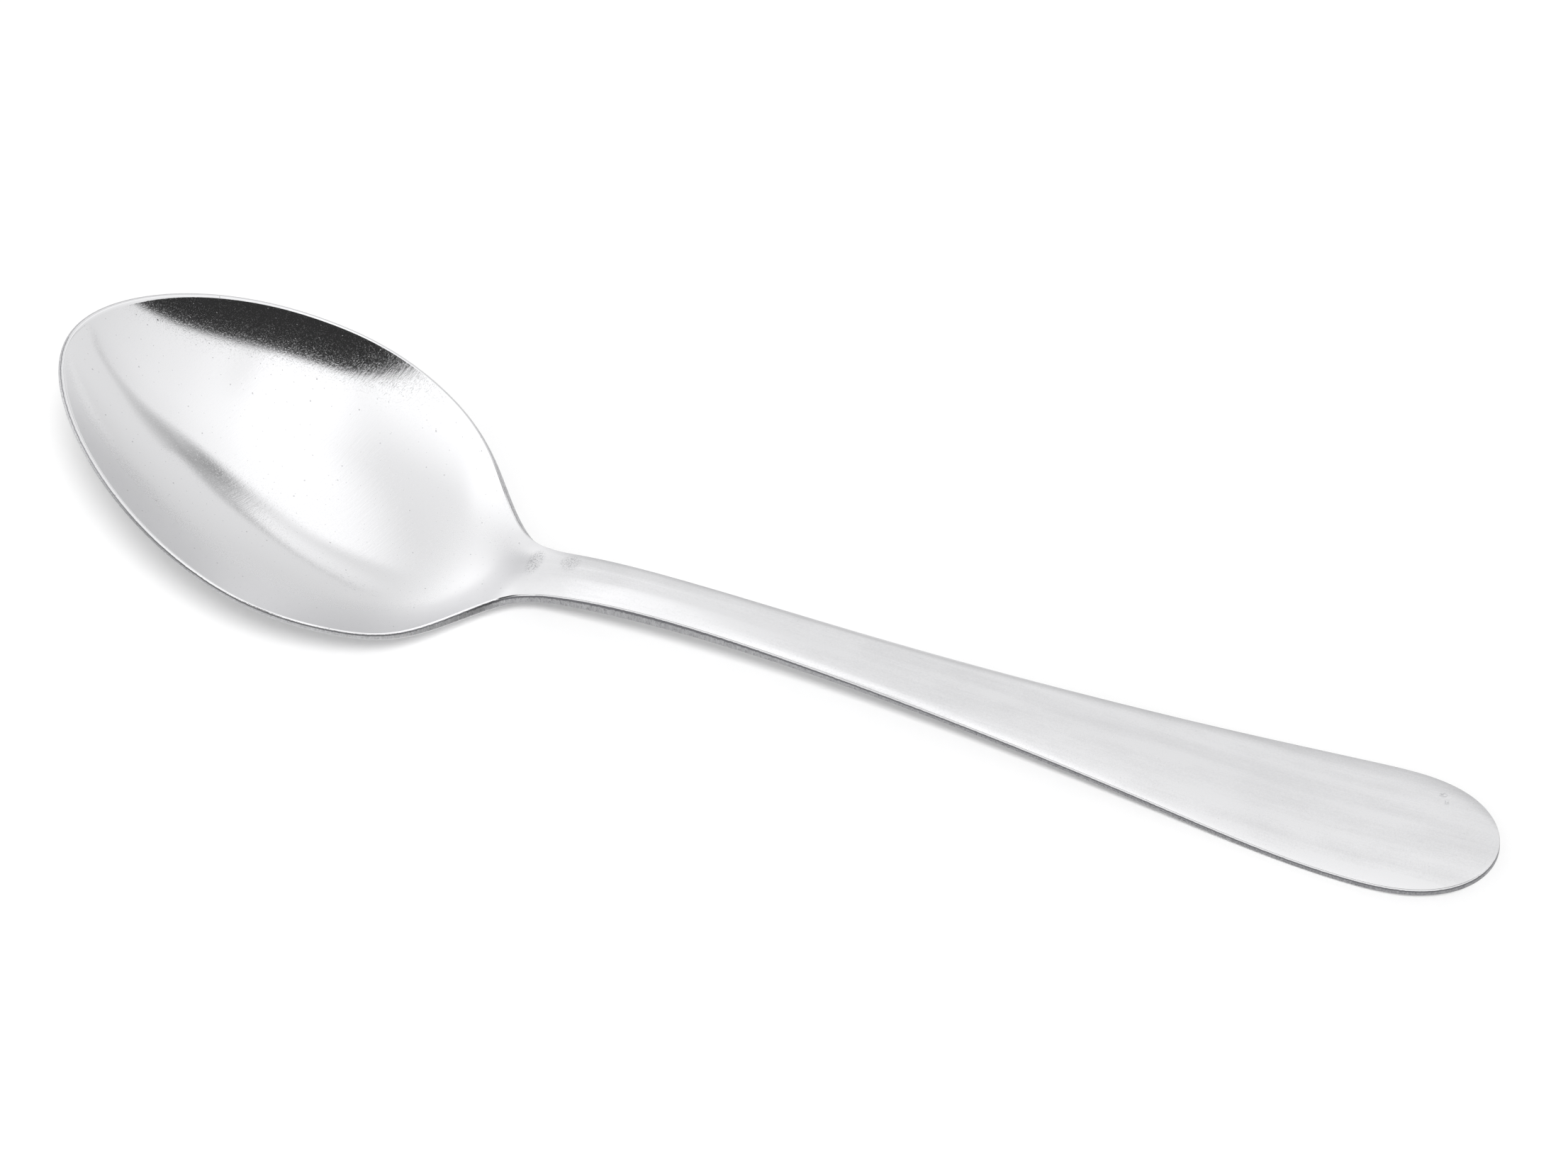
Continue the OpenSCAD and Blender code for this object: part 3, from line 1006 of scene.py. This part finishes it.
def floor_material(studio):
    """Matt white floor that keeps shadows, with a little light of its own for eyes and mirrors."""
    material = bpy.data.materials.new("floor_white")
    start = empty_tree(material)
    lift = start.seen() * studio.floor_lift
    glow = start.add("ShaderNodeEmission", None, {"Color": rgba(WHITE), "Strength": lift})
    paint = start.add("ShaderNodeBsdfDiffuse", None, {"Color": rgba(studio.floor)})
    both = start.add("ShaderNodeAddShader", None, {0: paint, 1: glow})
    start.add("ShaderNodeOutputMaterial", None, {"Surface": both})
    return material


def room_level(east, north, studio):
    """Level of the room: dimmer behind, a dip to the right and a glow and a dusk to the left."""
    west = (-east).step(*WEST_SPAN)
    back = (1 - west) * north.step(*BACK_RIGHT) + west * north.step(*BACK_LEFT)
    dip = east.step(*DIP_EAST) * (DIP_FRONT + (1 - DIP_FRONT) * north.step(*DIP_NORTH))
    glow = (-east).step(*GLOW_WEST) * north.step(*GLOW_NORTH)
    dusk = (-east).step(*DUSK_WEST) * north.step(*DUSK_NORTH)
    room = studio.top_light - DIP_DEPTH * dip + GLOW_GAIN * (glow - dusk)
    return room + back * (studio.back_light - room)


def front_share(east, north):
    """How far a direction lies over the camera, where the light is brightest, from 0 to 1."""
    shoulder = FRONT_SHOULDER * (-east).step(*SHOULDER_WEST)
    notch = FRONT_NOTCH * (1 - abs(east - NOTCH_EAST).step(*NOTCH_WIDTH))
    return (-north + shoulder - notch).step(*FRONT_SPAN)


def strip_share(east, north):
    """How far a direction lies on the strip light: sharp on its left and ended by its brow."""
    left = east + north.math("MAXIMUM", north, SLANT_FROM) * LEFT_SLANT
    brow = BROW_NORTH
    for fall, span in BROW_FALLS:
        brow = brow - fall * east.step(*span)
    return left.step(*LEFT_SPAN) * (1 - (north - brow).step(*BROW_BLUR))


def strip_level(east, north, studio):
    """Level along the strip light, which fades out slowly to its right."""
    right = east + north * RIGHT_SLANT
    seam = (1 - abs(right - SEAM_AT).step(*SEAM_WIDTH)) * (1 - north.step(*SEAM_NORTH))
    return (
        studio.front_light
        - SHELF_FALL * right.step(*SHELF_SPAN)
        - SEAM_DEPTH * seam
        - MIDDLE_FALL * right.step(*MIDDLE_SPAN)
        - NORTH_FALL * north.step(*NORTH_SPAN)
        - OUTER_FALL * right.step(*OUTER_SPAN)
    )


def lip_share(east, north):
    """How far a direction lies on the thin lip of light that runs on from the strip's end."""
    over = east * LIP_EAST + north * LIP_NORTH
    ahead = east * LIP_NORTH - north * LIP_EAST
    return over.step(*LIP_LOWER) * (1 - over.step(*LIP_UPPER)) * ahead.step(*LIP_AHEAD)


def sky_point(east, north, distance):
    """Points over the bowl, by how many degrees they lean from straight up to +X and to +Y."""
    lean = np.maximum(np.hypot(east, north), LEAST_LEAN)
    flat = np.sin(np.radians(lean)) / lean
    away = np.stack([east * flat, north * flat, np.cos(np.radians(lean))], -1)
    return np.array(BOWL_MIDDLE) + distance * away


def card(name, points, cover):
    """A card from a grid of points that only reflections see, with its cover at each point."""
    made = mesh_object(name, points.reshape(-1, 3), grid_faces(*points.shape[:2]))
    add_attribute(made, "cover", cover)
    made.data.materials.append(card_material())
    made.visible_camera = False
    made.visible_diffuse = False
    made.visible_shadow = False


class SPOON_OT_make_spoon(bpy.types.Operator):
    """Builds the spoon as one closed skin in place of the solid"""

    bl_idname = "spoon.make_spoon"
    bl_label = "Make Spoon"

    def execute(self, context):
        sizes = context.scene.spoon_sizes
        points, drop, run, side = Sheet(sizes).grid()
        rows, columns = points.shape[:2]
        faces = np.concatenate([
            ring_faces(rows, columns),
            lid_faces(columns, 0, True),
            lid_faces(columns, (rows - 1) * columns, False),
        ])
        made = mesh_object("spoon_skin", points.reshape(-1, 3), faces)
        add_attribute(made, "drop", drop)
        add_attribute(made, "run", run)
        add_attribute(made, "side", side)
        made.data.materials.append(steel_material(context.scene.spoon_finish))
        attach(made, BODY)
        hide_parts(NODE)
        return {"FINISHED"}


class SPOON_OT_make_stage(bpy.types.Operator):
    """Lays the floor, sets the lights and the reflection cards, and places the camera"""

    bl_idname = "spoon.make_stage"
    bl_label = "Make Stage"

    def execute(self, context):
        studio = context.scene.spoon_studio
        self.lay_floor(studio)
        self.light_room(context, studio)
        self.hang_lamp(context, studio)
        self.hang_cloth()
        self.hang_streak()
        self.place_camera(context, studio)
        context.scene.view_settings.view_transform = "Standard"
        return {"FINISHED"}

    def lay_floor(self, studio):
        """A wide flat floor just under the spoon."""
        side = np.linspace(-FLOOR_REACH, FLOOR_REACH, FLOOR_LINES)
        x, y = np.meshgrid(side, side)
        points = np.stack([x, y, np.full_like(x, FLOOR_LEVEL)], -1)
        faces = grid_faces(FLOOR_LINES, FLOOR_LINES)
        made = mesh_object("floor", points.reshape(-1, 3), faces, smooth=False)
        made.data.materials.append(floor_material(studio))

    def light_room(self, context, studio):
        """A white room: dim low down behind the spoon, brighter overhead, brightest in front.

        A wide strip of light runs overhead from front to back and ends at a brow behind the spoon.
        """
        world = bpy.data.worlds.new("white_room")
        context.scene.world = world
        start = empty_tree(world)
        x, y, z = start.add("ShaderNodeTexCoord", output=0).xyz()
        flat = (x * x + y * y + LEAST_FLAT).root()
        lean = z.math("ARCCOSINE", z) * math.degrees(1.0)
        east, north = x * lean / flat, y * lean / flat
        room = room_level(east, north, studio)
        beam = strip_share(east, north)
        beside = 1 - beam
        level = room + beam * (strip_level(east, north, studio) - room)
        level = level + lip_share(east, north) * beside * LIP_GAIN
        level = level + front_share(east, north) * beside * (studio.front_light - level)
        strength = level * (studio.fill_share + (1 - studio.fill_share) * start.seen())
        light = start.add(
            "ShaderNodeBackground", None, {"Color": rgba(WHITE), "Strength": strength}
        )
        start.add("ShaderNodeOutputWorld", None, {"Surface": light})

    def hang_lamp(self, context, studio):
        """A soft lamp right of the camera that shades the floor and that steel does not mirror."""
        lamp = bpy.data.lights.new("key_lamp", "SUN")
        lamp.energy = studio.key_light * math.pi / math.cos(studio.key_lean)
        lamp.angle = studio.key_spread
        made = bpy.data.objects.new("key_lamp", lamp)
        made.rotation_euler = (studio.key_lean, 0.0, studio.key_azimuth)
        made.visible_glossy = False
        context.scene.collection.objects.link(made)

    def hang_cloth(self):
        """A wide black cloth over the camera, thinning out towards its foot."""
        east = np.linspace(BRINK_EAST[0], BRINK_EAST[-1], CLOTH_STEPS)[:, None]
        brink = natural_curve(BRINK_EAST, BRINK_NORTH)(east)
        blur = natural_curve(BLUR_EAST, BLUR_WIDTH)(east)
        foot = -np.sqrt(CLOTH_REACH**2 - east**2)
        top, full = brink - BRINK_DROP + blur / 2, brink - BRINK_DROP - blur / 2
        folds = [mix(brink, foot, part) for part in CLOTH_FOLDS]
        north = np.concatenate([top, full, *folds, foot], axis=1)
        cover = np.array(CLOTH_COVER) + 0 * north
        card("card_front", sky_point(east + 0 * north, north, CLOTH_AWAY), cover)

    def hang_streak(self):
        """A soft dark streak along the brow of the strip light."""
        stops = np.arange(len(STREAK_EAST))
        t = np.linspace(0, stops[-1], STREAK_STEPS)
        east, north, above, below, depth = (
            natural_curve(stops, values)(t)
            for values in (STREAK_EAST, STREAK_NORTH, STREAK_ABOVE, STREAK_BELOW, STREAK_DEPTH)
        )
        east_way, north_way = np.gradient(east), np.gradient(north)
        heading = np.hypot(east_way, north_way)
        side = np.linspace(-1, 1, STREAK_COLUMNS)
        away = np.where(side > 0, above[:, None], below[:, None]) * side
        points = sky_point(
            east[:, None] - away * (north_way / heading)[:, None],
            north[:, None] + away * (east_way / heading)[:, None],
            STREAK_AWAY,
        )
        cover = np.clip(depth, 0, 1)[:, None] * (1 - side**2) ** STREAK_FADE
        card("card_brow", points, cover)

    def place_camera(self, context, studio):
        """The camera looks at a point of the floor from its azimuth, elevation and distance."""
        lens = bpy.data.cameras.new("camera")
        lens.sensor_fit = "HORIZONTAL"
        lens.sensor_width = SENSOR_WIDTH
        lens.lens = studio.focal_px * SENSOR_WIDTH / IMAGE_WIDTH
        lens.clip_start = CLIP_START
        made = bpy.data.objects.new("camera", lens)
        a, e = studio.azimuth, studio.elevation
        back = Vector((math.sin(a) * math.cos(e), -math.cos(a) * math.cos(e), math.sin(e)))
        made.location = Vector((studio.target_x, studio.target_y, 0.0)) + back * studio.distance
        made.rotation_euler = back.to_track_quat("Z", "Y").to_euler()
        context.scene.collection.objects.link(made)
        context.scene.camera = made


class SPOON_PT_panel(bpy.types.Panel):
    """Lists the operators and the values that they read"""

    bl_idname = "SPOON_PT_panel"
    bl_label = "Dessert Spoon"
    bl_space_type = "VIEW_3D"
    bl_region_type = "UI"
    bl_category = "Spoon"

    def draw(self, context):
        for kind in OPERATORS:
            self.layout.operator(kind.bl_idname)
        for name in GROUPS:
            box = self.layout.box()
            group = getattr(context.scene, name)
            for key in group.__annotations__:
                box.prop(group, key)


GROUPS = {"spoon_sizes": SpoonSizes, "spoon_finish": SteelFinish, "spoon_studio": StudioSettings}
OPERATORS = (SPOON_OT_make_spoon, SPOON_OT_make_stage)
CLASSES = (*GROUPS.values(), *OPERATORS, SPOON_PT_panel)


def register():
    """Registers the classes and gives the scene their values."""
    for kind in CLASSES:
        bpy.utils.register_class(kind)
    for name, kind in GROUPS.items():
        setattr(bpy.types.Scene, name, PointerProperty(type=kind))


def unregister():
    """Takes the values and the classes away again."""
    for name in GROUPS:
        delattr(bpy.types.Scene, name)
    for kind in reversed(CLASSES):
        bpy.utils.unregister_class(kind)


def main():
    """Builds spoon and stage."""
    register()
    bpy.ops.spoon.make_spoon()
    bpy.ops.spoon.make_stage()


if __name__ == "__main__":
    main()
